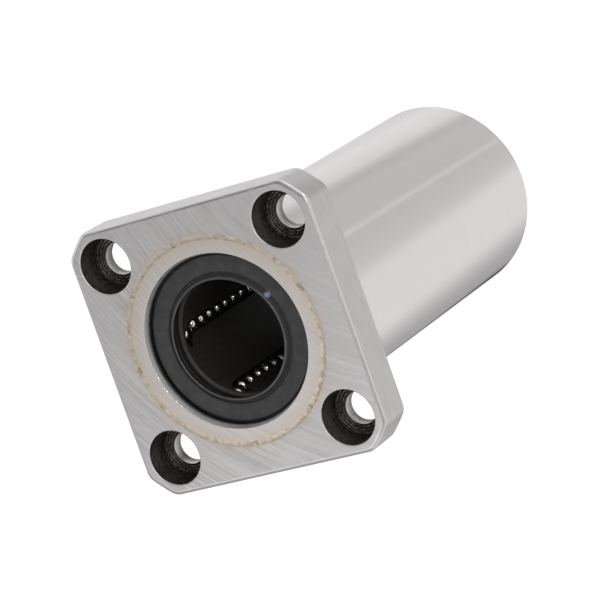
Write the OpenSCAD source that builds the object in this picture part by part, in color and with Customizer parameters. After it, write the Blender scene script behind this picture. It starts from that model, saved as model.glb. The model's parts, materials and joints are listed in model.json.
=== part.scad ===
// Flanged linear ball bushing, long type, sealed at both ends.
// A square flange sits on one end of a hardened outer cylinder. Inside, two resin
// retainers stand end to end and guide closed circuits of balls: in each circuit
// one row rolls between the shaft and a raceway land of the cylinder, and the
// other row brings the balls back. All lengths are millimetres.
//
// Frame: the origin is the centre of the bore in the flange's mounting face.
// +Z runs along the bore and out through the flange, so the flange's outer face
// is at +flange_t and the free end of the cylinder at flange_t - body_l.

/* [Shaft and balls] */
// Diameter of the shaft that the bushing runs on
shaft_d = 16; // [15.9:0.05:16]
// Diameter of one ball
ball_d = 2.381; // [2.3:0.001:2.381]
// Distance between the centres of neighbouring balls in a straight row
ball_pitch = 2.4; // [2.4:0.01:2.42]
// Number of balls in each straight row
row_balls = 10; // [6:1:10]
// Number of ball circuits around each retainer
circuits = 5; // [3:1:5]
// Angle of the first loaded row, measured from +X
first_row_angle = 23; // [0:1:71]

/* [Outer cylinder] */
// Outside diameter of the cylinder, the size its housing bore is made for
body_d = 28; // [28:0.5:30]
// Overall length, from the free end to the flange's outer face
body_l = 70; // [70:1:80]
// Chamfer on the free end of the cylinder
body_chamfer = 0.5; // [0.2:0.1:1]

/* [Flange] */
// Width of the square flange across its flats
flange_w = 37; // [36:0.5:40]
// Thickness of the flange
flange_t = 6; // [5.5:0.5:8]
// Diameter that the flange's corners are turned to
flange_corner_d = 48; // [47:0.5:50]
// Chamfer around the edges of the flange
flange_chamfer = 0.3; // [0.1:0.1:0.5]

/* [Mounting holes] */
// Diameter of the circle that the hole centres lie on
bolt_circle_d = 38; // [37.5:0.5:38.5]
// Number of mounting holes
bolt_count = 4; // [4:1:4]
// Diameter of each through hole
bolt_hole_d = 4.5; // [4.3:0.1:5.5]
// Diameter of the counterbore for the screw head
bolt_head_d = 7.5; // [7:0.1:8]
// Depth of the counterbore below the flange's outer face
bolt_head_depth = 4.1; // [3:0.1:4.5]

/* [Seals] */
// Diameter of the seat that each seal is pressed into
seal_d = 23.2; // [23:0.1:23.4]
// How far the seal's lip lies below the end of the cylinder
seal_recess = 0.9; // [0.6:0.1:1]
// Thickness of the seal, its lip included
seal_t = 2; // [1.8:0.1:2.1]

/* [Hidden] */
ENDS = ["front", "rear"];
GROUPS = ["loaded_row", "return_row", "outer_turn", "inner_turn"];
FIXED = [
    "outer_cylinder", "flange", "braze_seam",
    "front_retainer", "rear_retainer", "center_spacer",
    "front_retaining_ring", "rear_retaining_ring",
    "front_seal", "rear_seal",
];
BALL_GROUPS = [
    for (end = ENDS) for (circuit = [1:circuits]) for (group = GROUPS)
        str(end, "_", group, "_", circuit)
];

$fn = 96;
eps = 0.01;

shaft_r = shaft_d / 2;
ball_r = ball_d / 2;
body_r = body_d / 2;

// Levels along the bore. The internals are the same seen from either end, so the
// rear ones are the front ones mirrored about the middle of the cylinder.
front_face = flange_t;
free_end = flange_t - body_l;
middle = (front_face + free_end) / 2;

// Seal seat, ring groove and spacer
ring_t = 0.78;
groove_w = 0.8;
groove_r = seal_d / 2 + 0.4;
ring_outer_r = groove_r - 0.05;
ring_inner_r = 9.6;
ring_gap = 5;
seal_top = front_face - seal_recess;
seal_bottom = seal_top - seal_t;
seat_floor = seal_bottom - groove_w;
lead_in_w = 0.25;
lead_in_l = 0.7;
spacer_l = 2;
spacer_inner_r = 9.2;

// Seal section, from the pressed rim in to the lip that wipes the shaft
rim_chamfer = 0.4;
seal_face = seal_top - 0.5;
face_inner_r = shaft_r + 0.95;
lip_groove_depth = 0.3;
lip_groove_r = [shaft_r + 0.65, shaft_r + 0.8];
lip_w = 0.45;
lip_chamfer = 0.05;
lip_bottom = seal_top - 0.45;
lip_root_r = shaft_r + 0.7;

// Chamfer at the mouth of each screw hole
hole_mouth = 0.15;

// Joint between the flange and the cylinder, and the undercut just behind it
seam_depth = 0.35;
undercut_w = 1.2;
undercut_r = body_r - 0.25;

// Raceway: the lands carry the loaded rows, the relief bore clears the rest
play = 0.005;
land_r = shaft_r + ball_d + 2 * play;
land_w = 2.6;
relief_r = 11.25;

// Ball circuit, a flat racetrack whose plane leans a little because the return
// row lies further out than the loaded one
loaded_r = shaft_r + ball_r + play;
return_r = 10;
return_step = 21.8;
loaded_xy = [loaded_r, 0];
return_xy = return_r * [cos(return_step), sin(return_step)];
circuit_xy = (loaded_xy + return_xy) / 2;
row_gap = return_xy - loaded_xy;
turn_r = norm(row_gap) / 2;
plane_angle = atan2(row_gap.y, row_gap.x) - 90;
row_margin = 1;
straight_l = (row_balls - 1) * ball_pitch + 2 * row_margin;
turn_ball_gap = 0.01;
turn_ball_angle = asin((ball_d + turn_ball_gap) / (2 * turn_r));

// Retainer
retainer_l = (seat_floor - middle) - spacer_l / 2;
retainer_bore_r = shaft_r + 0.35;
retainer_chamfer = 0.35;
retainer_r = relief_r - 0.1;
retainer_land_r = land_r - 0.11;
retainer_land_w = land_w + 0.66;
track_r = ball_r + 0.08;
track_open = 3;
front_junction = middle + spacer_l / 2 + (retainer_l + straight_l) / 2;

// Shifts from the front set of internals to the rear set
function end_shift(end) = end == "front" ? 0 : -(retainer_l + spacer_l);

// Places its children in a circuit's own frame: x out of the circuit's plane,
// y from the loaded row to the return row, z along the bore.
module in_circuit(end, circuit) {
    translate([0, 0, end_shift(end)])
        rotate([0, 0, first_row_angle + (circuit - 1) * 360 / circuits])
            translate([circuit_xy.x, circuit_xy.y, 0])
                rotate([0, 0, plane_angle])
                    children();
}

// Repeats its children at each loaded row's angle, x pointing outwards
module at_loaded_rows() {
    for (circuit = [1:circuits])
        rotate([0, 0, first_row_angle + (circuit - 1) * 360 / circuits])
            children();
}

// Repeats a front end detail at both ends of the cylinder
module both_ends() {
    children();
    mirror_to_rear() children();
}

module mirror_to_rear() {
    translate([0, 0, 2 * middle]) mirror([0, 0, 1]) children();
}

module ball() {
    sphere(r = ball_r, $fn = 32);
}

// Cross-section of a ball track: round below the ball, open outwards
module track_section() {
    circle(r = track_r, $fn = 48);
    translate([0, -track_r]) square([track_open, 2 * track_r]);
}

// Half-turn of track that joins the two straight rows
module turn_track(outer) {
    rotate([0, 90, 0])
        rotate([0, 0, outer ? 90 : -90])
            rotate_extrude(angle = 180)
                translate([turn_r, 0])
                    rotate([0, 0, 90])
                        track_section();
}

// The whole racetrack that one circuit's balls run in
module circuit_track() {
    for (side = [-1, 1])
        translate([0, side * turn_r, front_junction - straight_l])
            linear_extrude(straight_l)
                track_section();
    translate([0, 0, front_junction]) turn_track(true);
    translate([0, 0, front_junction - straight_l]) turn_track(false);
}

// Clears the retainer's outside where it passes a raceway land
module land_relief() {
    difference() {
        translate([shaft_r, -retainer_land_w / 2, seat_floor - retainer_l - eps])
            cube([relief_r - shaft_r + 1, retainer_land_w, retainer_l + 2 * eps]);
        translate([0, 0, seat_floor - retainer_l - 2 * eps])
            cylinder(r = retainer_land_r, h = retainer_l + 4 * eps);
    }
}

// Plain tube that a retainer is cut from, its bore chamfered at both ends
module retainer_blank() {
    outline = [
        [retainer_r, 0],
        [retainer_r, retainer_l],
        [retainer_bore_r + retainer_chamfer, retainer_l],
        [retainer_bore_r, retainer_l - retainer_chamfer],
        [retainer_bore_r, retainer_chamfer],
        [retainer_bore_r + retainer_chamfer, 0],
    ];
    rotate_extrude() polygon(outline);
}

module retainer(end) {
    color("dimgray")
        difference() {
            translate([0, 0, seat_floor - retainer_l + end_shift(end)]) retainer_blank();
            translate([0, 0, end_shift(end)]) at_loaded_rows() land_relief();
            for (circuit = [1:circuits]) in_circuit(end, circuit) circuit_track();
        }
}

// One raceway land, standing in from the wall of the relief bore
module land() {
    overlap = 0.2;
    translate([land_r - overlap, -land_w / 2, front_junction - straight_l])
        cube([relief_r - land_r + 3 * overlap, land_w, straight_l]);
}

module bore_mouth() {
    translate([0, 0, seal_bottom])
        cylinder(d = seal_d, h = front_face - seal_bottom + eps);
    translate([0, 0, seat_floor])
        cylinder(r = groove_r, h = groove_w);
    translate([0, 0, front_face - lead_in_l])
        cylinder(r1 = seal_d / 2, r2 = seal_d / 2 + lead_in_w, h = lead_in_l);
}

module outer_cylinder() {
    color("silver")
        difference() {
            rotate_extrude()
                polygon([
                    [0, free_end],
                    [body_r - body_chamfer, free_end],
                    [body_r, free_end + body_chamfer],
                    [body_r, -undercut_w],
                    [undercut_r, -undercut_w],
                    [undercut_r, 0],
                    [body_r, 0],
                    [body_r, front_face - seam_depth],
                    [body_r - seam_depth, front_face],
                    [0, front_face],
                ]);
            difference() {
                translate([0, 0, free_end + front_face - seat_floor])
                    cylinder(r = relief_r, h = body_l - 2 * (front_face - seat_floor));
                for (end = ENDS)
                    translate([0, 0, end_shift(end)])
                        at_loaded_rows() land();
            }
            translate([0, 0, free_end - eps])
                cylinder(r = land_r, h = body_l + 2 * eps);
            both_ends() bore_mouth();
        }
}

// Outline of the plate seen from one side, with its edges chamfered
module chamfered_outline(half_w) {
    polygon([
        [-half_w + flange_chamfer, 0],
        [half_w - flange_chamfer, 0],
        [half_w, flange_chamfer],
        [half_w, flange_t - flange_chamfer],
        [half_w - flange_chamfer, flange_t],
        [-half_w + flange_chamfer, flange_t],
        [-half_w, flange_t - flange_chamfer],
        [-half_w, flange_chamfer],
    ]);
}

// Bar of that outline along the Y axis, turned about the bore by an angle
module chamfered_bar(half_w, angle) {
    rotate([90, 0, angle])
        translate([0, 0, -half_w])
            linear_extrude(2 * half_w)
                chamfered_outline(half_w);
}

// Square plate with chamfered edges and its corners turned off
module flange_plate() {
    half_w = flange_w / 2;
    corner_r = flange_corner_d / 2;
    intersection() {
        chamfered_bar(half_w, 0);
        chamfered_bar(half_w, 90);
        rotate_extrude()
            intersection() {
                chamfered_outline(corner_r);
                square([corner_r, flange_t]);
            }
    }
}

// Counterbored hole for one mounting screw
module mounting_hole() {
    translate([0, 0, -eps])
        cylinder(d = bolt_hole_d, h = flange_t + 2 * eps);
    translate([0, 0, flange_t - bolt_head_depth])
        cylinder(d = bolt_head_d, h = bolt_head_depth + eps);
    translate([0, 0, flange_t - hole_mouth])
        cylinder(d1 = bolt_head_d, d2 = bolt_head_d + 2 * hole_mouth, h = hole_mouth);
}

module flange() {
    color("lightgray")
        difference() {
            flange_plate();
            translate([0, 0, -eps]) cylinder(r = body_r, h = flange_t + 2 * eps);
            translate([0, 0, flange_t - seam_depth])
                cylinder(r1 = body_r, r2 = body_r + seam_depth, h = seam_depth);
            for (i = [0:bolt_count - 1])
                rotate([0, 0, 45 + i * 360 / bolt_count])
                    translate([bolt_circle_d / 2, 0, 0])
                        mounting_hole();
        }
}

// Brazing metal that fills the groove between the flange and the cylinder
module braze_seam() {
    color("tan")
        rotate_extrude()
            polygon([
                [body_r - seam_depth, front_face],
                [body_r, front_face - seam_depth],
                [body_r + seam_depth, front_face],
            ]);
}

// Resin ring that keeps the two retainers apart
module center_spacer() {
    color("gray")
        translate([0, 0, middle - spacer_l / 2])
            difference() {
                cylinder(r = retainer_land_r, h = spacer_l);
                translate([0, 0, -eps])
                    cylinder(r = spacer_inner_r, h = spacer_l + 2 * eps);
            }
}

// Open spring ring that holds a retainer in the cylinder
module retaining_ring() {
    color("slategray")
        translate([0, 0, seat_floor + (groove_w - ring_t) / 2])
            difference() {
                cylinder(r = ring_outer_r, h = ring_t);
                translate([0, 0, -eps]) cylinder(r = ring_inner_r, h = ring_t + 2 * eps);
                translate([0, -ring_gap / 2, -eps])
                    cube([groove_r, ring_gap, ring_t + 2 * eps]);
            }
}

// Rubber end seal: a flat face, a groove, and a raised lip that wipes the shaft
module seal() {
    color("#2b2b2d")
        rotate_extrude()
            polygon([
                [seal_d / 2, seal_bottom],
                [seal_d / 2, seal_face - rim_chamfer],
                [seal_d / 2 - rim_chamfer, seal_face],
                [face_inner_r, seal_face],
                [lip_groove_r[1], seal_face - lip_groove_depth],
                [lip_groove_r[0], seal_face - lip_groove_depth],
                [shaft_r + lip_w, seal_top - lip_chamfer],
                [shaft_r + lip_w - lip_chamfer, seal_top],
                [shaft_r + lip_chamfer, seal_top],
                [shaft_r, seal_top - lip_chamfer],
                [shaft_r, lip_bottom],
                [lip_root_r, seal_bottom],
            ]);
}

// Straight row of balls on one side of a circuit
module straight_row(side) {
    for (i = [0:row_balls - 1])
        translate([0, side * turn_r, front_junction - row_margin - i * ball_pitch])
            ball();
}

// The two balls that are in a half-turn
module turn_pair(outer) {
    level = outer ? front_junction : front_junction - straight_l;
    rise = (outer ? 1 : -1) * turn_r * cos(turn_ball_angle);
    reach = turn_r * sin(turn_ball_angle);
    for (side = [-1, 1])
        translate([0, side * reach, level + rise])
            ball();
}

// A front circuit's outer turn is next to the front seal, a rear circuit's next
// to the rear seal
module ball_group(end, group, circuit) {
    color("gainsboro")
        in_circuit(end, circuit) {
            if (group == "loaded_row") straight_row(-1);
            if (group == "return_row") straight_row(1);
            if (group == "outer_turn") turn_pair(end == "front");
            if (group == "inner_turn") turn_pair(end == "rear");
        }
}

outer_cylinder();
flange();
braze_seam();
retainer("front");  // front_retainer
retainer("rear");  // rear_retainer
center_spacer();
retaining_ring();  // front_retaining_ring
mirror_to_rear() retaining_ring();  // rear_retaining_ring
seal();  // front_seal
mirror_to_rear() seal();  // rear_seal
for (end = ENDS) for (circuit = [1:circuits]) for (group = GROUPS)
    ball_group(end, group, circuit);
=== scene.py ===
"""The looks of a flanged linear ball bushing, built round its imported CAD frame.

The cylinder, the flange, the braze seam and the two seals are built again here as
finer meshes, with rounded edges, turned ridges and lips. The retainers, the spacer,
the rings and the balls keep their CAD meshes and get procedural materials.
Everything is in metres in the row frame: the bore runs along Z, the flange's
mounting face is at Z = 0 and its outer face looks up.
"""

import json
import math
from collections import namedtuple

import bmesh
import bpy
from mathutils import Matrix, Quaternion, Vector
from mathutils.geometry import delaunay_2d_cdt


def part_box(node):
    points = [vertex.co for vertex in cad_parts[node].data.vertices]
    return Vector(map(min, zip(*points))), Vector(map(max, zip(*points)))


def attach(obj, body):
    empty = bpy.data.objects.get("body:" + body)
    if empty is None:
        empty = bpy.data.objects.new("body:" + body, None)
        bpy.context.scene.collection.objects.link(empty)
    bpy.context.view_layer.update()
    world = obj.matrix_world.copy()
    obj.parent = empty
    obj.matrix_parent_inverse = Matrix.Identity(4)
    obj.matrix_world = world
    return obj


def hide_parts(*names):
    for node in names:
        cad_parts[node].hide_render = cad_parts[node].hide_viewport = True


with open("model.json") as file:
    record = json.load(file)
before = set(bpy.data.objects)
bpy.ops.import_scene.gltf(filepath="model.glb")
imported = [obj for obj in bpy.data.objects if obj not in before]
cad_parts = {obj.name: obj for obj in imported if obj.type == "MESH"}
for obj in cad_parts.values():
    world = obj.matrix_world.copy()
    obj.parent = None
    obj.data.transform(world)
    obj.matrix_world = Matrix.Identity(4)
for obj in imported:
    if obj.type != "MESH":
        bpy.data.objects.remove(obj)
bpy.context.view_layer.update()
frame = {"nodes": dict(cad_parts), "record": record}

MM = 0.001
BODY = "bushing"

# Sizes that the frame gives
MOUNTS = {mount["name"]: mount for mount in frame["record"]["mounts"]}
BODY_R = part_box("outer_cylinder")[1].x
FREE_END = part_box("outer_cylinder")[0].z
FRONT_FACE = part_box("outer_cylinder")[1].z
MIDDLE = (FREE_END + FRONT_FACE) / 2
FLANGE_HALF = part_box("flange")[1].x
SEAM_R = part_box("braze_seam")[1].x
SEAT_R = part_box("front_seal")[1].x
SEAL_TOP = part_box("front_seal")[1].z
SEAL_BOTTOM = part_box("front_seal")[0].z
SHAFT_R = MOUNTS["shaft_bore"]["dims"]["r_mm"] * MM
HOLE_R = MOUNTS["flange_bolts"]["dims"]["hole_r_mm"] * MM
HOLE_CIRCLE_R = MOUNTS["flange_bolts"]["dims"]["pcd_mm"] * MM / 2
HOLE_COUNT = MOUNTS["flange_bolts"]["dims"]["count"]

# Sizes of the details, the same as the CAD part's, with angles in degrees
FLANGE_CORNER_R = 24 * MM
FLANGE_CHAMFER = 0.3 * MM
HEAD_R = 3.75 * MM
HEAD_FLOOR = FRONT_FACE - 4.1 * MM
HOLE_MOUTH = 0.15 * MM
SEAL_STEP = 0.5 * MM
LEAD_IN_W = 0.25 * MM
LEAD_IN_L = 0.7 * MM
BODY_CHAMFER = 0.5 * MM
UNDERCUT_R = BODY_R - 0.25 * MM
UNDERCUT_W = 1.2 * MM
GROOVE_R = SEAT_R + 0.4 * MM
GROOVE_W = 0.8 * MM
RELIEF_R = 11.25 * MM
LAND_R = 10.391 * MM
LAND_HALF_ANGLE = 7
LAND_LENGTH = 23.6 * MM
LAND_START = -1.05 * MM
FIRST_ROW_ANGLE = 23
ROWS = 5

# Tool marks in the counterbores: ridges on the wall and rings on the floor
RIDGE_PITCH = 0.46 * MM
RIDGE_HEIGHT = 0.07 * MM
RIDGES = 3
RING_PITCH = 0.42 * MM
RING_DEPTH = 0.12 * MM
RINGS = 3
HEAD_CORNER = 0.12 * MM
MARK_STEPS = 8

# Centre of the wheel that ground the flange's face, on the part's axes
WHEEL_CENTRE = Vector((38.7, 32.9, 0)) * MM
# Radii in mm between which the heat of brazing tinted the ground faces
HEAT_START, HEAT_END = 11.5, 16.5

# How finely round things are divided
TURN_STEPS = 360
HOLE_STEPS = 96
ARC_STEPS = 4
# Points that lie closer than this are one point
MERGE = 0.0005 * MM


# ---------------------------------------------------------------- outlines and meshes


def rounded(corners):
    """Closed outline through the corners (r, z, radius), with an arc of that radius at each."""
    outline = []
    for i, (r, z, radius) in enumerate(corners):
        here = Vector((r, z))
        back = (Vector(corners[i - 1][:2]) - here).normalized()
        ahead = (Vector(corners[(i + 1) % len(corners)][:2]) - here).normalized()
        half = math.acos(max(-1, min(1, back.dot(ahead)))) / 2
        if radius == 0 or half > math.radians(89):
            outline.append((r, z))
            continue
        centre = here + (back + ahead).normalized() * radius / math.sin(half)
        start = here + back * radius / math.tan(half) - centre
        end = here + ahead * radius / math.tan(half) - centre
        for step in range(ARC_STEPS + 1):
            t = step / ARC_STEPS
            spoke = (start * (1 - t) + end * t).normalized() * radius
            outline.append(tuple(centre + spoke))
    return outline


# Part of a piece's skin: flat or smooth, with the finish of that number
Patch = namedtuple("Patch", "points faces flat finish", defaults=(False, 0))


def tube(loops, closed=False, flat=False, finish=0):
    """Patch of faces between neighbouring loops of points."""
    count = len(loops[0])
    points = [p for loop in loops for p in loop]
    pairs = list(zip(range(len(loops) - 1), range(1, len(loops))))
    if closed:
        pairs.append((len(loops) - 1, 0))
    faces = []
    for a, b in pairs:
        for i in range(count):
            j = (i + 1) % count
            faces.append((a * count + i, a * count + j, b * count + j, b * count + i))
    return Patch(points, faces, flat, finish)


def circle(radius, z, steps, centre=(0, 0)):
    return [
        Vector(
            (
                centre[0] + radius * math.cos(2 * math.pi * i / steps),
                centre[1] + radius * math.sin(2 * math.pi * i / steps),
                z,
            )
        )
        for i in range(steps)
    ]


def lathe(outline, radius_at=None, closed=True):
    """Outline of (r, z) turned about the bore; radius_at(r, z, degrees) may vary r."""
    loops = []
    for r, z in outline:
        loop = circle(r, z, TURN_STEPS)
        if radius_at:
            for i, point in enumerate(loop):
                scale = radius_at(r, z, i * 360 / TURN_STEPS) / r
                point.x *= scale
                point.y *= scale
        loops.append(loop)
    return tube(loops, closed)


def plane_patch(outer, holes, z):
    """Flat patch inside an outer loop and outside round holes, each (centre, loop)."""
    points, edges = [], []
    for loop in [outer] + [loop for _, loop in holes]:
        first = len(points)
        points += [Vector((p.x, p.y)) for p in loop]
        edges += [(first + i, first + (i + 1) % len(loop)) for i in range(len(loop))]
    flat, _, triangles, *_ = delaunay_2d_cdt(points, edges, [], 0, MERGE / 10)

    def in_hole(face):
        middle = sum((flat[i] for i in face), Vector((0, 0))) / 3
        return any(
            (middle - Vector(centre)).length < (Vector(loop[0][:2]) - Vector(centre)).length
            for centre, loop in holes
        )

    kept = [face for face in triangles if not in_hole(face)]
    return Patch([Vector((p.x, p.y, z)) for p in flat], kept, True)


def piece(name, patches, materials, slot, *nodes, sharp=40):
    """One object of the bushing from patches whose edges meet, standing for CAD nodes."""
    bm = bmesh.new()
    for patch in patches:
        verts = [bm.verts.new(p) for p in patch.points]
        for corners in patch.faces:
            face = bm.faces.new([verts[i] for i in corners])
            face.smooth = not patch.flat
            face.material_index = patch.finish
    bmesh.ops.remove_doubles(bm, verts=bm.verts, dist=MERGE)
    bmesh.ops.recalc_face_normals(bm, faces=bm.faces)
    for edge in bm.edges:
        edge.smooth = edge.calc_face_angle(0) < math.radians(sharp)
    mesh = bpy.data.meshes.new(name)
    bm.to_mesh(mesh)
    bm.free()
    for material in materials:
        mesh.materials.append(material)
    made = bpy.data.objects.new(name, mesh)
    bpy.context.scene.collection.objects.link(made)
    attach(made, BODY)
    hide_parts(*nodes)
    return made


# ---------------------------------------------------------------- materials


class Nodes:
    """A node tree in the making. Each call adds a node and returns it or its output."""

    def __init__(self, tree):
        self.tree = tree

    def node(self, kind, inputs=(), **settings):
        made = self.tree.nodes.new("ShaderNode" + kind)
        for name, value in settings.items():
            setattr(made, name, value)
        for socket, value in dict(inputs).items():
            if isinstance(value, bpy.types.NodeSocket):
                self.tree.links.new(value, made.inputs[socket])
            else:
                made.inputs[socket].default_value = value
        return made

    def place(self):
        """The point on the object, in metres."""
        return self.node("TexCoord").outputs["Object"]

    def noise(self, vector, detail):
        """Noise from 0 to 1, with features one unit of the vector across."""
        made = self.node(
            "TexNoise", {"Vector": vector, "Scale": 1, "Detail": detail, "Roughness": 0.6}
        )
        return made.outputs["Fac"]

    def grain(self, size, turn=0, detail=3):
        """Noise from 0 to 1 with features of size (x, y, z) mm, turned about Z by degrees."""
        spread = self.node(
            "Mapping",
            {
                "Vector": self.place(),
                "Rotation": (0, 0, math.radians(turn)),
                "Scale": tuple(s * MM for s in size),
            },
            vector_type="TEXTURE",
        )
        return self.noise(spread.outputs[0], detail)

    def math(self, operation, a, b=0.0, c=0.0):
        return self.node("Math", {0: a, 1: b, 2: c}, operation=operation).outputs[0]

    def remap(self, value, low, high, to_low=0.0, to_high=1.0):
        """Value moved from low..high to to_low..to_high, and held within it."""
        return self.node(
            "MapRange", {0: value, 1: low, 2: high, 3: to_low, 4: to_high}
        ).outputs[0]

    def radius(self):
        """Distance from the bore's axis, in mm."""
        flat = self.node(
            "VectorMath",
            {0: self.place(), 1: (1 / MM, 1 / MM, 0)},
            operation="MULTIPLY",
        ).outputs[0]
        return self.node("VectorMath", {0: flat}, operation="LENGTH").outputs["Value"]

    def axis(self, letter):
        """One coordinate of the point, in mm."""
        part = self.node("SeparateXYZ", {0: self.place()}).outputs[letter]
        return self.math("MULTIPLY", part, 1 / MM)

    def ramp(self, value, stops):
        """Colour from a value by stops of (position, grey or (r, g, b))."""
        made = self.node("ValToRGB", {0: value})
        marks = made.color_ramp.elements
        while len(marks) < len(stops):
            marks.new(1)
        for mark, (position, colour) in zip(marks, stops):
            mark.position = position
            rgb = colour if isinstance(colour, tuple) else (colour,) * 3
            mark.color = (*rgb, 1)
        return made.outputs["Color"]

    def mix(self, factor, a, b, blend="MIX"):
        """Colour a where the factor is 0 and b where it is 1."""
        made = self.node("Mix", data_type="RGBA", blend_type=blend)
        for socket, value in ((0, factor), (6, a), (7, b)):
            if isinstance(value, bpy.types.NodeSocket):
                self.tree.links.new(value, made.inputs[socket])
            elif isinstance(value, tuple):
                made.inputs[socket].default_value = (*value, 1)
            else:
                made.inputs[socket].default_value = value
        return made.outputs[2]

    def bump(self, height, depth, below=None):
        """Bump of that depth in mm, on top of another bump if one is given."""
        inputs = {"Height": height, "Distance": depth * MM, "Strength": 1.0}
        if below is not None:
            inputs["Normal"] = below
        return self.node("Bump", inputs).outputs[0]


class Finish(Nodes):
    """A procedural material in the making, on a Principled shader."""

    def __init__(self, name, **shader):
        self.material = bpy.data.materials.new(name)
        self.material.use_nodes = True
        super().__init__(self.material.node_tree)
        self.shader = self.tree.nodes["Principled BSDF"]
        for socket, value in shader.items():
            self.shader.inputs[socket.replace("_", " ")].default_value = value

    def feed(self, socket, output):
        self.tree.links.new(output, self.shader.inputs[socket])


def ground_arcs(finish, length, width, detail=3):
    """Noise drawn out along arcs round the grinding wheel's centre; length and width in mm."""
    away = finish.node(
        "VectorMath", {0: finish.place(), 1: WHEEL_CENTRE}, operation="SUBTRACT"
    ).outputs[0]
    flat = finish.node("VectorMath", {0: away, 1: (1, 1, 0)}, operation="MULTIPLY").outputs[0]
    reach = finish.node("VectorMath", {0: flat}, operation="LENGTH").outputs["Value"]
    across = WHEEL_CENTRE.orthogonal().normalized()
    along = finish.node("VectorMath", {0: flat, 1: across}, operation="DOT_PRODUCT")
    spread = finish.node(
        "CombineXYZ",
        {
            0: finish.math("DIVIDE", reach, width * MM),
            1: finish.math("DIVIDE", along.outputs["Value"], length * MM),
        },
    )
    return finish.noise(spread.outputs[0], detail)


def ground_streaks(finish):
    """Marks of surface grinding: fine lines with a few crossing ones, and longer rough ones."""
    fine = ground_arcs(finish, 14, 0.17, detail=4)
    crossing = finish.grain((6, 0.3, 0.3), turn=147, detail=2)
    rough = ground_arcs(finish, 30, 0.5)
    lines = finish.math("ADD", fine, finish.math("MULTIPLY", crossing, 0.25))
    return lines, rough


def ground_face_finish(name, metal, shade, roughness):
    """Surface-ground steel: arcs left by the wheel, nicks, and a heat tint round the seam."""
    steel = Finish(name, Metallic=1.0)
    lines, rough = ground_streaks(steel)
    cloud = steel.grain((6, 6, 6), detail=4)
    patches = steel.grain((1.8, 1.1, 1.1), turn=130, detail=3)
    nicks = steel.grain((0.5, 0.3, 0.3), turn=40, detail=2)
    base = steel.mix(steel.remap(lines, 0.47, 0.77), shade, metal)
    base = steel.mix(steel.remap(rough, 0.40, 0.64, 0, 0.75), base, shade)
    # Towards +X the streaks fade into an even tone
    middle = tuple((0.40 * a + 0.60 * b) for a, b in zip(metal, shade))
    across = steel.math("ADD", steel.axis("X"), steel.remap(cloud, 0.3, 0.7, -6, 6))
    base = steel.mix(steel.remap(across, -6, 12, 0, 0.65), base, middle)
    scratches = ground_arcs(steel, 11, 0.13, detail=1)
    base = steel.mix(steel.remap(scratches, 0.70, 0.78, 0, 0.7), base, (0.97, 0.96, 0.95))
    base = steel.mix(steel.remap(scratches, 0.30, 0.22, 0, 0.5), base, (0.42, 0.40, 0.39))
    base = steel.mix(steel.remap(cloud, 0.40, 0.70, 0, 0.4), base, tuple(0.92 * c for c in metal))
    base = steel.mix(steel.remap(nicks, 0.74, 0.80, 0, 0.55), base, (0.95, 0.94, 0.93))
    wander = steel.math("ADD", steel.radius(), steel.remap(patches, 0.25, 0.75, -0.5, 0.5))
    heat = steel.ramp(
        steel.remap(wander, HEAT_START, HEAT_END),
        [
            (0.0, (1.0, 0.985, 0.975)),
            (0.20, (1.0, 0.97, 0.94)),
            (0.32, (1.0, 0.94, 0.865)),
            (0.40, (1.0, 0.915, 0.80)),
            (0.50, (0.97, 0.895, 0.79)),
            (0.60, (0.98, 0.94, 0.89)),
            (0.70, (1.0, 0.98, 0.965)),
            (1.0, (1.0, 1.0, 1.0)),
        ],
    )
    steel.feed("Base Color", steel.mix(1.0, base, heat, "MULTIPLY"))
    low, high = roughness
    steel.feed("Roughness", steel.remap(rough, 0.3, 0.7, low, high))
    steel.feed("Normal", steel.bump(lines, 0.008, steel.bump(rough, 0.010)))
    return steel.material


def edge_finish():
    """Ground edges of the flange, streaked lengthwise; the +X edge is darkened with painted shade.
    """
    steel = Finish("flange_edge_ground", Metallic=1.0)
    lines = steel.grain((9, 9, 0.15), detail=4)
    patches = steel.grain((3, 3, 1.5), detail=3)
    # Painted shade: the base colour darkens towards the +X edge, which the studio lights brightly
    painted_shade_plus_x = steel.remap(steel.axis("X"), FLANGE_HALF / MM - 2, FLANGE_HALF / MM - 0.5)
    base = steel.mix(steel.remap(lines, 0.35, 0.65), (0.76, 0.74, 0.74), (0.82, 0.80, 0.80))
    base = steel.mix(steel.remap(patches, 0.45, 0.7, 0, 0.3), base, (0.70, 0.68, 0.67))
    base = steel.mix(painted_shade_plus_x, base, (0.80, 0.79, 0.785), "MULTIPLY")
    steel.feed("Base Color", base)
    steel.feed("Roughness", steel.remap(patches, 0.3, 0.7, 0.28, 0.42))
    steel.feed("Normal", steel.bump(lines, 0.004))
    return steel.material


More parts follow.
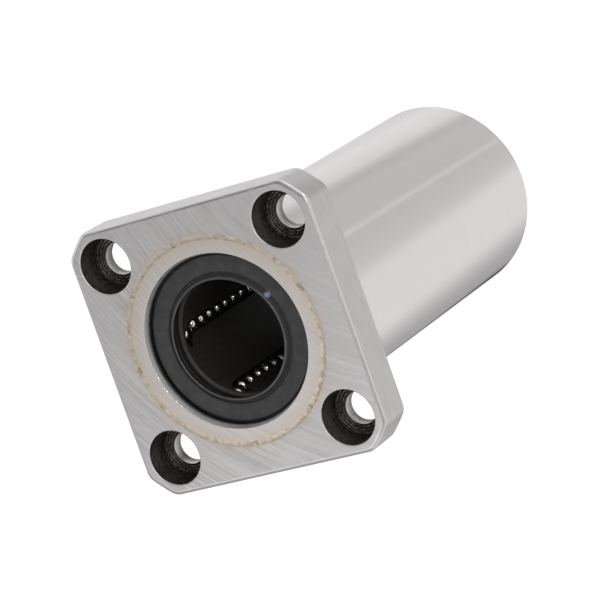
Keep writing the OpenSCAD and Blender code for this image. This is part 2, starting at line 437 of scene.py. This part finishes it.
def mouth_finish():
    """Turned steel of the seal seats and ring grooves: rougher than the ground outside, with
    painted shadow next to the seals.
    """
    steel = Finish("turned_mouth_steel", Metallic=1.0)
    lines = steel.grain((10, 10, 0.06), detail=3)
    cloud = steel.grain((1.5, 1.5, 1.5), detail=3)
    base = steel.mix(steel.remap(lines, 0.35, 0.65), (0.74, 0.72, 0.70), (0.92, 0.90, 0.88))
    base = steel.mix(steel.remap(cloud, 0.5, 0.7, 0, 0.4), base, (0.62, 0.59, 0.55))
    # Painted shadow: the steel darkens towards the seal, deeper in the mouth
    level = steel.math("SUBTRACT", steel.axis("Z"), MIDDLE / MM)
    depth = steel.math("SUBTRACT", FRONT_FACE / MM - MIDDLE / MM, steel.math("ABSOLUTE", level))
    depth = steel.math("ADD", depth, steel.remap(cloud, 0.3, 0.7, -0.15, 0.15))
    seal_depth = (FRONT_FACE - SEAL_TOP) / MM
    dark = steel.remap(depth, seal_depth - 0.05, seal_depth + 0.35)
    base = steel.mix(dark, base, (0.10, 0.095, 0.09))
    steel.feed("Base Color", base)
    steel.feed("Roughness", steel.remap(cloud, 0.3, 0.7, 0.42, 0.55))
    steel.feed("Normal", steel.bump(lines, 0.004))
    return steel.material


def cylinder_finish():
    """Bearing steel ground and polished round the body, with a few specks and stains."""
    steel = Finish("ground_steel", Metallic=1.0, Anisotropic=0.4, Anisotropic_Rotation=0.25)
    lines = steel.grain((14, 14, 0.05), detail=4)
    broad = steel.grain((30, 30, 1.5), detail=2)
    specks = steel.grain((0.45, 0.45, 0.45), detail=1)
    stain = steel.grain((2.5, 2.5, 4), detail=4)
    base = steel.mix(steel.remap(lines, 0.3, 0.7), (0.835, 0.80, 0.805), (0.875, 0.84, 0.845))
    base = steel.mix(steel.remap(broad, 0.35, 0.65, 0, 0.3), base, (0.83, 0.80, 0.80))
    base = steel.mix(steel.remap(stain, 0.62, 0.80, 0, 0.35), base, (0.93, 0.91, 0.90))
    base = steel.mix(steel.remap(specks, 0.80, 0.84, 0, 0.6), base, (0.45, 0.43, 0.42))
    steel.feed("Base Color", base)
    steel.feed("Roughness", steel.remap(stain, 0.3, 0.8, 0.12, 0.20))
    steel.feed("Normal", steel.bump(lines, 0.0004))
    steel.feed("Tangent", steel.node("Tangent", direction_type="RADIAL", axis="Z").outputs[0])
    return steel.material


def counterbore_finish():
    """Drilled steel left dark and oily, its tool rings lightened here and there: worn bright, and
    with a painted highlight.
    """
    bore = Finish("dark_counterbore", Metallic=0.7, Specular_IOR_Level=0.5)
    offset = HOLE_CIRCLE_R / math.sqrt(2) / MM
    across = [
        bore.math("SUBTRACT", bore.math("ABSOLUTE", bore.axis(letter)), offset)
        for letter in ("X", "Y")
    ]
    squares = [bore.math("POWER", value, 2.0) for value in across]
    radius = bore.math("SQRT", bore.math("ADD", *squares))
    oil = bore.grain((0.5, 0.5, 0.5), detail=4)
    broken = bore.grain((0.35, 0.35, 0.35), detail=2)
    turns = bore.grain((3, 3, 0.07), detail=3)
    height = bore.axis("Z")
    floor = HEAD_FLOOR / MM
    # Radians per mm that keep the bright crests, worn and with a painted highlight, on the ridges
    # and rings of the mesh
    floor_rate, wall_rate, wall_phase = 15.0, 13.66, 1.96
    on_floor = bore.remap(height, floor + 0.16, floor + 0.12)
    floor_ring = bore.math("SINE", bore.math("MULTIPLY", radius, floor_rate))
    wall_ring = bore.math("COSINE", bore.math("MULTIPLY_ADD", height, wall_rate, wall_phase))
    low_wall = bore.remap(height, floor + 1.6, floor + 1.3)
    wall_ring = bore.math("MULTIPLY", wall_ring, low_wall)
    ring = bore.math(
        "ADD",
        bore.math("MULTIPLY", floor_ring, on_floor),
        bore.math("MULTIPLY", wall_ring, bore.math("SUBTRACT", 1.0, on_floor)),
    )
    # Bright crests: partly wear, partly a painted highlight of light caught on the ridges
    worn_and_highlit_crests = bore.math("MULTIPLY", bore.remap(ring, 0.5, 0.95), bore.remap(broken, 0.42, 0.58))
    base = bore.mix(bore.remap(oil, 0.35, 0.7), (0.020, 0.017, 0.015), (0.095, 0.082, 0.071))
    bore.feed("Base Color", bore.mix(worn_and_highlit_crests, base, (0.85, 0.84, 0.83)))
    bore.feed("Roughness", bore.remap(oil, 0.3, 0.7, 0.28, 0.45))
    bore.feed("Normal", bore.bump(turns, 0.012, bore.bump(oil, 0.01)))
    return bore.material


def drilled_finish():
    """Drilled wall of a through hole: bright by the screw's seat, mottled, and darkened further
    down with painted shade.
    """
    drilled = Finish("drilled_hole_wall", Metallic=0.9)
    rings = drilled.grain((2, 2, 0.25), detail=3)
    mottle = drilled.grain((0.5, 0.5, 0.3), detail=3)
    depth = drilled.math("ADD", drilled.axis("Z"), drilled.remap(mottle, 0.3, 0.7, -0.4, 0.4))
    base = drilled.mix(drilled.remap(rings, 0.4, 0.6), (0.45, 0.44, 0.43), (0.78, 0.77, 0.76))
    seat = HEAD_FLOOR / MM
    # Painted shade: the wall darkens deeper down the hole
    below = drilled.remap(depth, seat - 0.6, seat - 1.2)
    base = drilled.mix(below, base, (0.26, 0.25, 0.24))
    drilled.feed("Base Color", base)
    drilled.feed("Roughness", drilled.remap(mottle, 0.3, 0.7, 0.30, 0.50))
    drilled.feed("Normal", drilled.bump(rings, 0.010))
    return drilled.material


def braze_finish():
    """Braze metal ground flush: tan and mottled, streaked the same way as the faces."""
    braze = Finish("ground_braze", Metallic=1.0)
    lines, _ = ground_streaks(braze)
    mottle = braze.grain((0.9, 0.6, 0.6), turn=130, detail=4)
    tint = braze.ramp(
        mottle,
        [(0.32, (0.50, 0.41, 0.29)), (0.46, (0.74, 0.64, 0.51)), (0.62, (0.88, 0.80, 0.69))],
    )
    worn = braze.remap(braze.grain((3.2, 3.2, 3.2), detail=3), 0.48, 0.62, 0, 0.65)
    tint = braze.mix(worn, tint, (0.83, 0.76, 0.68))
    blots = braze.remap(braze.grain((1.6, 1.6, 1.6), detail=2), 0.61, 0.69, 0, 0.8)
    tint = braze.mix(blots, tint, (0.37, 0.30, 0.20))
    wander = braze.grain((0.8, 0.8, 0.8), detail=2)
    rim = braze.math("ADD", braze.radius(), braze.remap(wander, 0.3, 0.7, -0.25, 0.25))
    outer = SEAM_R / MM
    edge = braze.remap(rim, outer - 0.40, outer - 0.15, 0, 0.45)
    tint = braze.mix(edge, tint, (0.56, 0.50, 0.42))
    braze.feed("Base Color", tint)
    braze.feed("Roughness", braze.remap(mottle, 0.3, 0.7, 0.42, 0.34))
    braze.feed("Normal", braze.bump(lines, 0.004))
    return braze.material


def rubber_finish():
    """Moulded black rubber, matt and faintly ringed, with a glossier lip and a bluish painted
    highlight beside it.
    """
    rubber = Finish("seal_rubber_matt", Metallic=0.0)
    grain = rubber.grain((0.12, 0.12, 0.12), detail=3)
    dust = rubber.grain((1.6, 1.6, 1.6), detail=4)
    ring_rate = 26.0
    rings = rubber.math("SINE", rubber.math("MULTIPLY", rubber.radius(), ring_rate))
    shaft = SHAFT_R / MM
    lip = rubber.remap(rubber.radius(), shaft + 0.5, shaft + 0.3)
    # Painted shade: the lip's inner face, inside the bore, is made nearly black
    inside = rubber.remap(rubber.radius(), shaft + 0.09, shaft + 0.01)
    # Painted highlight: a pale bluish spot by the lip, a reflection of light drawn into the colour
    turn, reach = math.radians(30), SHAFT_R + 0.65 * MM
    painted_glint_centre = (reach * math.cos(turn), reach * math.sin(turn), SEAL_TOP - SEAL_STEP)
    away = rubber.node("VectorMath", {0: rubber.place(), 1: painted_glint_centre}, operation="DISTANCE")
    away = away.outputs["Value"]
    painted_glint_mask = rubber.remap(away, 0.55 * MM, 0.15 * MM)
    tint = rubber.mix(rubber.remap(dust, 0.4, 0.7), (0.043, 0.043, 0.045), (0.065, 0.064, 0.064))
    tint = rubber.mix(inside, tint, (0.012, 0.011, 0.010))
    rubber.feed("Base Color", rubber.mix(painted_glint_mask, tint, (0.42, 0.48, 0.55)))
    rough = rubber.remap(grain, 0.3, 0.7, 0.42, 0.58)
    rubber.feed("Roughness", rubber.math("MULTIPLY_ADD", lip, -0.26, rough))
    rubber.feed("Specular IOR Level", rubber.math("MULTIPLY_ADD", lip, 0.45, 0.45))
    rubber.feed("Normal", rubber.bump(grain, 0.010, rubber.bump(rings, 0.0015)))
    return rubber.material


def resin_finish(name, low, high):
    """Moulded resin with faint flow marks along the bore."""
    resin = Finish(name, Metallic=0.0, Specular_IOR_Level=0.4)
    flow = resin.grain((0.5, 0.5, 4), detail=3)
    grain = resin.grain((0.15, 0.15, 0.15), detail=2)
    resin.feed("Base Color", resin.mix(resin.remap(flow, 0.3, 0.7), low, high))
    resin.feed("Roughness", resin.remap(grain, 0.3, 0.7, 0.38, 0.55))
    resin.feed("Normal", resin.bump(grain, 0.006, resin.bump(flow, 0.01)))
    return resin.material


def spring_finish():
    """Blued spring steel with rolling lines round the ring."""
    spring = Finish("blued_spring_steel", Metallic=1.0)
    blue = spring.grain((1.5, 1.5, 1.5), detail=3)
    lines = spring.grain((6, 6, 0.08), detail=3)
    tint = spring.mix(spring.remap(blue, 0.35, 0.65), (0.16, 0.17, 0.20), (0.27, 0.26, 0.27))
    spring.feed("Base Color", tint)
    spring.feed("Roughness", spring.remap(lines, 0.3, 0.7, 0.28, 0.42))
    spring.feed("Normal", spring.bump(lines, 0.003))
    return spring.material


def ball_finish():
    """Polished bearing balls with a film of oil that varies a little."""
    ball = Finish("polished_ball", Metallic=1.0)
    film = ball.grain((0.7, 0.7, 0.7), detail=2)
    tint = ball.mix(ball.remap(film, 0.35, 0.65), (0.56, 0.55, 0.54), (0.68, 0.68, 0.68))
    ball.feed("Base Color", tint)
    ball.feed("Roughness", ball.remap(film, 0.3, 0.7, 0.04, 0.10))
    ball.feed("Normal", ball.bump(film, 0.0004))
    return ball.material


# ---------------------------------------------------------------- pieces


def mirrored(outline):
    """The outline of the rear end that answers to one of the front end."""
    return [(r, 2 * MIDDLE - z) for r, z in outline]


def build_cylinder(body, ground_face, turned):
    """Outer cylinder with rounded edges, its undercut, seal seats, ring grooves and lands."""
    seat_floor = SEAL_BOTTOM - GROOVE_W
    seam_depth = SEAM_R - BODY_R
    mouth = [
        (RELIEF_R, seat_floor, 0.04 * MM),
        (GROOVE_R, seat_floor, 0.04 * MM),
        (GROOVE_R, SEAL_BOTTOM, 0.04 * MM),
        (SEAT_R, SEAL_BOTTOM, 0.04 * MM),
        (SEAT_R, FRONT_FACE - LEAD_IN_L, 0.3 * MM),
        (SEAT_R + LEAD_IN_W, FRONT_FACE, 0.05 * MM),
    ]
    rear_mouth = [(r, 2 * MIDDLE - z, radius) for r, z, radius in reversed(mouth)]
    outside = [
        (BODY_R - seam_depth, FRONT_FACE, 0),
        (BODY_R, FRONT_FACE - seam_depth, 0),
        (BODY_R, 0, 0),
        (UNDERCUT_R, 0, 0.03 * MM),
        (UNDERCUT_R, -UNDERCUT_W, 0.08 * MM),
        (BODY_R, -UNDERCUT_W, 0.05 * MM),
        (BODY_R, FREE_END + BODY_CHAMFER, 0.15 * MM),
        (BODY_R - BODY_CHAMFER, FREE_END, 0.10 * MM),
    ]
    land_ends = [LAND_START, LAND_START - LAND_LENGTH]
    land_ends += [2 * MIDDLE - z for z in reversed(land_ends)]
    bore = []
    for i, z in enumerate(reversed(land_ends)):
        plain, on_land = (RELIEF_R, z, 0), (RELIEF_R - MERGE, z, 0)
        bore += [plain, on_land] if i % 2 == 0 else [on_land, plain]

    def radius_at(r, z, angle):
        past_edge = (angle - FIRST_ROW_ANGLE + LAND_HALF_ANGLE) % (360 / ROWS)
        if r == RELIEF_R - MERGE:
            return LAND_R if past_edge <= 2 * LAND_HALF_ANGLE else RELIEF_R
        return r

    finishes = [body, ground_face, turned]
    shell = lathe(rounded(outside + rear_mouth + bore + mouth), radius_at, closed=False)
    rings = [shell.points[:TURN_STEPS], shell.points[-TURN_STEPS:]]
    patches = [shell, tube(rings, flat=True, finish=finishes.index(ground_face))]
    made = piece("cylinder_shell", patches, finishes, "cylinder_steel", "outer_cylinder")
    for face in made.data.polygons:
        in_mouth = face.center.xy.length < SEAT_R + LEAD_IN_W
        if in_mouth and abs(face.center.z - MIDDLE) > seat_floor - MIDDLE:
            face.material_index = finishes.index(turned)


def bend(start, corner, end, steps=5):
    """Points inside a smooth bend from start to end, drawn towards the corner."""
    return [
        start * (1 - t) ** 2 + corner * 2 * t * (1 - t) + end * t**2
        for t in (i / steps for i in range(1, steps))
    ]


def plate_outline(inset, z):
    """Outline of the square plate with turned corners, moved in by an inset."""
    half, corner = FLANGE_HALF - inset, FLANGE_CORNER_R - inset
    reach = math.sqrt(corner * corner - half * half)
    eased = 0.7 * MM
    low = math.atan2(reach, half) + eased / corner
    high = math.atan2(half, reach) - eased / corner
    end = reach - eased
    side_steps, corner_steps = 24, 16
    side = [Vector((half, -end + 2 * end * i / side_steps)) for i in range(side_steps + 1)]
    arc = [
        Vector((corner * math.cos(a), corner * math.sin(a)))
        for a in (low + (high - low) * i / corner_steps for i in range(corner_steps + 1))
    ]
    into_arc = bend(side[-1], Vector((half, reach)), arc[0])
    out_of_arc = bend(arc[-1], Vector((reach, half)), Vector((end, half)))
    points = []
    for quarter in range(4):
        turn = quarter * math.pi / 2
        for p in side + into_arc + arc + out_of_arc:
            x = p.x * math.cos(turn) - p.y * math.sin(turn)
            y = p.x * math.sin(turn) + p.y * math.cos(turn)
            points.append(Vector((x, y, z)))
    return points


def counterbore_outline():
    """Side view of a counterbore from its mouth in, with the tool's rings on wall and floor."""
    outline = []
    for step in range(ARC_STEPS + 1):
        t = step / ARC_STEPS * math.pi / 2
        reach = HEAD_R + HOLE_MOUTH * (1 - math.sin(t))
        outline.append((reach, FRONT_FACE - HOLE_MOUTH * (1 - math.cos(t))))
    for step in range(RIDGES * MARK_STEPS + 1):
        t = step / MARK_STEPS
        rise = RIDGE_HEIGHT * (1 - math.cos(2 * math.pi * t)) / 2
        level = HEAD_FLOOR + HEAD_CORNER + (RIDGES - t) * RIDGE_PITCH
        outline.append((HEAD_R - rise, level))
    for step in range(1, ARC_STEPS + 1):
        t = step / ARC_STEPS * math.pi / 2
        reach = HEAD_R - HEAD_CORNER * (1 - math.cos(t))
        outline.append((reach, HEAD_FLOOR + HEAD_CORNER * (1 - math.sin(t))))
    for step in range(1, RINGS * MARK_STEPS + 1):
        t = step / MARK_STEPS
        rise = RING_DEPTH * (1 - math.cos(2 * math.pi * t)) / 2
        outline.append((HEAD_R - HEAD_CORNER - t * RING_PITCH, HEAD_FLOOR + rise))
    outline += [(HOLE_R + 0.06 * MM, HEAD_FLOOR), (HOLE_R, HEAD_FLOOR - 0.06 * MM)]
    return outline


def build_flange(ground, bored, drilled, edged):
    """Square flange: rounded chamfers all round, four counterbored holes and the seam's chamfer."""
    inner_soft, outer_soft = 0.7 * MM, 0.25 * MM
    edge = rounded(
        [
            (2 * FLANGE_CHAMFER, 0, 0),
            (FLANGE_CHAMFER, 0, inner_soft),
            (0, FLANGE_CHAMFER, outer_soft),
            (0, FRONT_FACE - FLANGE_CHAMFER, outer_soft),
            (FLANGE_CHAMFER, FRONT_FACE, inner_soft),
            (2 * FLANGE_CHAMFER, FRONT_FACE, 0),
        ]
    )[1:-1]
    rim = [plate_outline(inset, z) for inset, z in edge]
    bore = [
        circle(BODY_R, 0, TURN_STEPS),
        circle(BODY_R, FRONT_FACE - (SEAM_R - BODY_R), TURN_STEPS),
        circle(SEAM_R, FRONT_FACE, TURN_STEPS),
    ]
    finishes = [ground, bored, drilled, edged]
    patches = [tube(rim, finish=finishes.index(edged)), tube(bore)]
    top_holes, bottom_holes = [((0, 0), bore[-1])], [((0, 0), bore[0])]
    for i in range(HOLE_COUNT):
        angle = math.radians(45 + i * 360 / HOLE_COUNT)
        centre = (HOLE_CIRCLE_R * math.cos(angle), HOLE_CIRCLE_R * math.sin(angle))
        head = [circle(r, z, HOLE_STEPS, centre) for r, z in counterbore_outline()]
        bottom = [(HOLE_R, 0.05 * MM), (HOLE_R + 0.05 * MM, 0)]
        through = head[-1:] + [circle(r, z, HOLE_STEPS, centre) for r, z in bottom]
        patches.append(tube(head[: ARC_STEPS + 1]))
        patches.append(tube(head[ARC_STEPS:], finish=finishes.index(bored)))
        patches.append(tube(through, finish=finishes.index(drilled)))
        top_holes.append((centre, head[0]))
        bottom_holes.append((centre, through[-1]))
    patches.append(plane_patch(rim[-1], top_holes, FRONT_FACE))
    patches.append(plane_patch(rim[0], bottom_holes, 0))
    piece("flange_plate", patches, finishes, "flange_steel", "flange")


def build_seam(material):
    """Braze metal that fills the groove, ground flush with the faces but a little uneven."""
    depth = SEAM_R - BODY_R
    edge_sunk, sunk, swell_height = 0.002 * MM, 0.012 * MM, 0.010 * MM
    waves = ((3, 0.3), (7, 1.9), (17, 4.0), (41, 0.8))
    corners = [
        (BODY_R - depth, FRONT_FACE - edge_sunk),
        (BODY_R - depth / 2, FRONT_FACE - sunk),
        (BODY_R, FRONT_FACE - sunk),
        (BODY_R + depth / 2, FRONT_FACE - sunk),
        (BODY_R + depth, FRONT_FACE - edge_sunk),
        (BODY_R, FRONT_FACE - depth),
    ]
    ring = lathe(corners)
    for point in ring.points:
        angle = math.atan2(point.y, point.x)
        if abs(point.z - FRONT_FACE + sunk) < MERGE:
            swell = sum(math.sin(n * angle + phase) for n, phase in waves) / len(waves)
            point.z += swell_height * swell
    piece("seam_ring", [ring], [material], "braze", "braze_seam")


def seal_outline():
    """Section of the front seal: shoulder, flat face, groove and the raised lip."""
    face = SEAL_TOP - SEAL_STEP
    return rounded(
        [
            (SEAT_R, SEAL_BOTTOM, 0.05 * MM),
            (SEAT_R, face - 0.45 * MM, 0.05 * MM),
            (SEAT_R - 0.22 * MM, face - 0.40 * MM, 0.08 * MM),
            (SEAT_R - 0.42 * MM, face, 0.14 * MM),
            (SHAFT_R + 0.95 * MM, face, 0.10 * MM),
            (SHAFT_R + 0.80 * MM, face - 0.3 * MM, 0.05 * MM),
            (SHAFT_R + 0.62 * MM, face - 0.3 * MM, 0.05 * MM),
            (SHAFT_R + 0.30 * MM, SEAL_TOP, 0.20 * MM),
            (SHAFT_R, SEAL_TOP, 0.12 * MM),
            (SHAFT_R, SEAL_TOP - 0.45 * MM, 0.03 * MM),
            (SHAFT_R + 0.7 * MM, SEAL_BOTTOM, 0.05 * MM),
        ]
    )


def dress(material, slot, *names):
    """Gives CAD nodes their procedural material."""
    for name in names:
        node = frame["nodes"][name]
        node.data.materials.clear()
        node.data.materials.append(material)
        for polygon in node.data.polygons:
            polygon.material_index = 0


def build_bushing():
    """Every piece of the bushing, with its material and its CAD nodes."""
    ring_face = ground_face_finish(
        "ring_face_steel", (0.92, 0.895, 0.89), (0.76, 0.735, 0.73), (0.28, 0.40)
    )
    flange_face = ground_face_finish(
        "flange_steel_ground", (0.94, 0.915, 0.915), (0.605, 0.585, 0.585), (0.30, 0.42)
    )
    build_cylinder(cylinder_finish(), ring_face, mouth_finish())
    build_flange(flange_face, counterbore_finish(), drilled_finish(), edge_finish())
    build_seam(braze_finish())
    rubber = rubber_finish()
    piece("front_seal_ring", [lathe(seal_outline())], [rubber], "seal_rubber", "front_seal")
    piece("rear_seal_ring", [lathe(mirrored(seal_outline()))], [rubber], "seal_rubber", "rear_seal")
    retainer = resin_finish("retainer_resin_black", (0.024, 0.020, 0.018), (0.040, 0.034, 0.029))
    spacer = resin_finish("spacer_resin_grey", (0.05, 0.05, 0.052), (0.08, 0.08, 0.08))
    dress(retainer, "retainer_resin", "front_retainer", "rear_retainer")
    dress(spacer, "spacer_resin", "center_spacer")
    dress(spring_finish(), "spring_steel", "front_retaining_ring", "rear_retaining_ring")
    rows = [name for name in frame["nodes"] if name[-1].isdigit()]
    dress(ball_finish(), "ball_steel", *rows)


# ---------------------------------------------------------------- floor, light, camera


def build_floor():
    """Plain pale floor under the free end; gloss on the metal comes from the studio round it."""
    reach = 4.0
    mesh = bpy.data.meshes.new("floor")
    level = FREE_END - 0.02 * MM
    corners = [(-reach, -reach), (reach, -reach), (reach, reach), (-reach, reach)]
    mesh.from_pydata([(x, y, level) for x, y in corners], [], [(0, 1, 2, 3)])
    floor = bpy.data.objects.new("floor", mesh)
    bpy.context.scene.collection.objects.link(floor)
    paper = Finish("white_paper", Roughness=0.9, Specular_IOR_Level=0.1)
    fibre = paper.grain((3, 3, 3), detail=3)
    paper.feed("Base Color", paper.mix(fibre, (0.90, 0.90, 0.90), (0.93, 0.93, 0.93)))
    paper.shader.inputs["Emission Color"].default_value = (1, 1, 1, 1)
    paper.shader.inputs["Emission Strength"].default_value = 0.55
    mesh.materials.append(paper.material)
    floor.visible_glossy = False


# How bright the studio looks to the metal at each azimuth: panels that stand round the
# object below its level, a bright strip above them, and the ceiling
PANELS = (
    (-180, 0.68), (-171, 0.66), (-168, 0.50), (-165, 0.03), (-144, 0.01), (-140, 0.30),
    (-136, 0.34), (-126, 0.345), (-112, 0.36), (-88, 0.50), (-76, 0.64), (-66, 0.68),
    (-12, 0.68), (-6, 0.64), (2, 0.56), (12, 0.53), (37, 0.49), (38, 0.62), (41, 0.62),
    (42, 0.49), (78, 0.50), (91, 0.44), (97, 0.50), (106, 0.66), (140, 0.72), (150, 0.65),
    (167, 0.63), (180, 0.68),
)
STRIP = (
    (-180, 0.60), (-160, 0.30), (-120, 0.30), (-60, 0.80), (-25, 0.95), (30, 0.95),
    (90, 0.70), (180, 0.70),
)
CEILING = (
    (-180, 0.08), (-172, 0.10), (-151, 1.05), (-120, 1.05), (-95, 0.50), (-50, 0.20),
    (80, 0.20), (120, 0.08), (180, 0.08),
)
# How much of that light the cylinder's steel gives back
METAL_SHINE = 0.86
# Heights, as sines of elevation, between which one band gives way to the next
STRIP_RISE = (-0.35, 0.0)
CEILING_RISE = (0.58, 0.76)
BACKDROP = (0.93, 0.93, 0.93)


def build_studio():
    """World light: the studio that metal reflects, and a plain pale backdrop for the camera."""
    world = bpy.data.worlds.new("studio")
    bpy.context.scene.world = world
    world.use_nodes = True
    light = Nodes(world.node_tree)
    background = light.tree.nodes["Background"]
    direction = light.node("TexCoord").outputs["Generated"]
    parts = light.node("SeparateXYZ", {0: direction}).outputs
    azimuth = light.math("ARCTAN2", parts["Y"], parts["X"])
    around = light.remap(azimuth, -math.pi, math.pi)
    panels, strip, ceiling = (
        light.ramp(around, [((angle + 180) / 360, value / METAL_SHINE) for angle, value in band])
        for band in (PANELS, STRIP, CEILING)
    )
    seen = light.mix(light.remap(parts["Z"], *STRIP_RISE), panels, strip)
    seen = light.mix(light.remap(parts["Z"], *CEILING_RISE), seen, ceiling)
    to_camera = light.node("LightPath").outputs["Is Camera Ray"]
    seen = light.mix(to_camera, seen, BACKDROP)
    light.tree.links.new(seen, background.inputs["Color"])


def build_light(name, azimuth, elevation, size, power, distance=0.5, colour=(1, 1, 1)):
    """Square soft light aimed at the flange: angles in degrees, lengths in m, power in W."""
    data = bpy.data.lights.new(name, "AREA")
    data.size = size
    data.energy = power
    data.color = colour
    light = bpy.data.objects.new(name, data)
    a, e = math.radians(azimuth), math.radians(elevation)
    away = Vector((math.cos(a) * math.cos(e), math.sin(a) * math.cos(e), math.sin(e)))
    light.location = away * distance
    light.rotation_mode = "QUATERNION"
    light.rotation_quaternion = away.to_track_quat("Z", "Y")
    bpy.context.scene.collection.objects.link(light)


# The camera: where it stands round the point it aims at, its roll and its lens in mm
CAMERA_AZIMUTH = math.radians(106.72)
CAMERA_ELEVATION = math.radians(58.477)
CAMERA_ROLL = math.radians(-123.86)
CAMERA_DISTANCE = 0.38917
CAMERA_LENS = 184.96
CAMERA_SENSOR = 36
AIM = Vector((12.58, 2.80, 6.0)) * MM


def build_camera():
    """Camera at the photograph's angle: high over the flange, rolled so the body leans away."""
    data = bpy.data.cameras.new("camera")
    data.lens = CAMERA_LENS
    data.sensor_width = CAMERA_SENSOR
    data.clip_start, data.clip_end = 0.01, 20
    camera = bpy.data.objects.new("camera", data)
    a, e = CAMERA_AZIMUTH, CAMERA_ELEVATION
    back = Vector((math.sin(a) * math.cos(e), -math.cos(a) * math.cos(e), math.sin(e)))
    upright = (-back).to_track_quat("-Z", "Y")
    camera.location = AIM + back * CAMERA_DISTANCE
    camera.rotation_mode = "QUATERNION"
    camera.rotation_quaternion = upright @ Quaternion((0, 0, 1), CAMERA_ROLL)
    bpy.context.scene.collection.objects.link(camera)
    bpy.context.scene.camera = camera


build_bushing()
build_floor()
build_studio()
build_light("glint_one", azimuth=8, elevation=62, size=0.05, power=0.18)
build_light("glint_two", azimuth=32, elevation=70, size=0.035, power=0.09)
build_light("sky_glint", azimuth=46, elevation=42, size=0.05, power=0.20, colour=(0.75, 0.87, 1.0))
build_camera()
bpy.context.scene.view_settings.view_transform = "Standard"
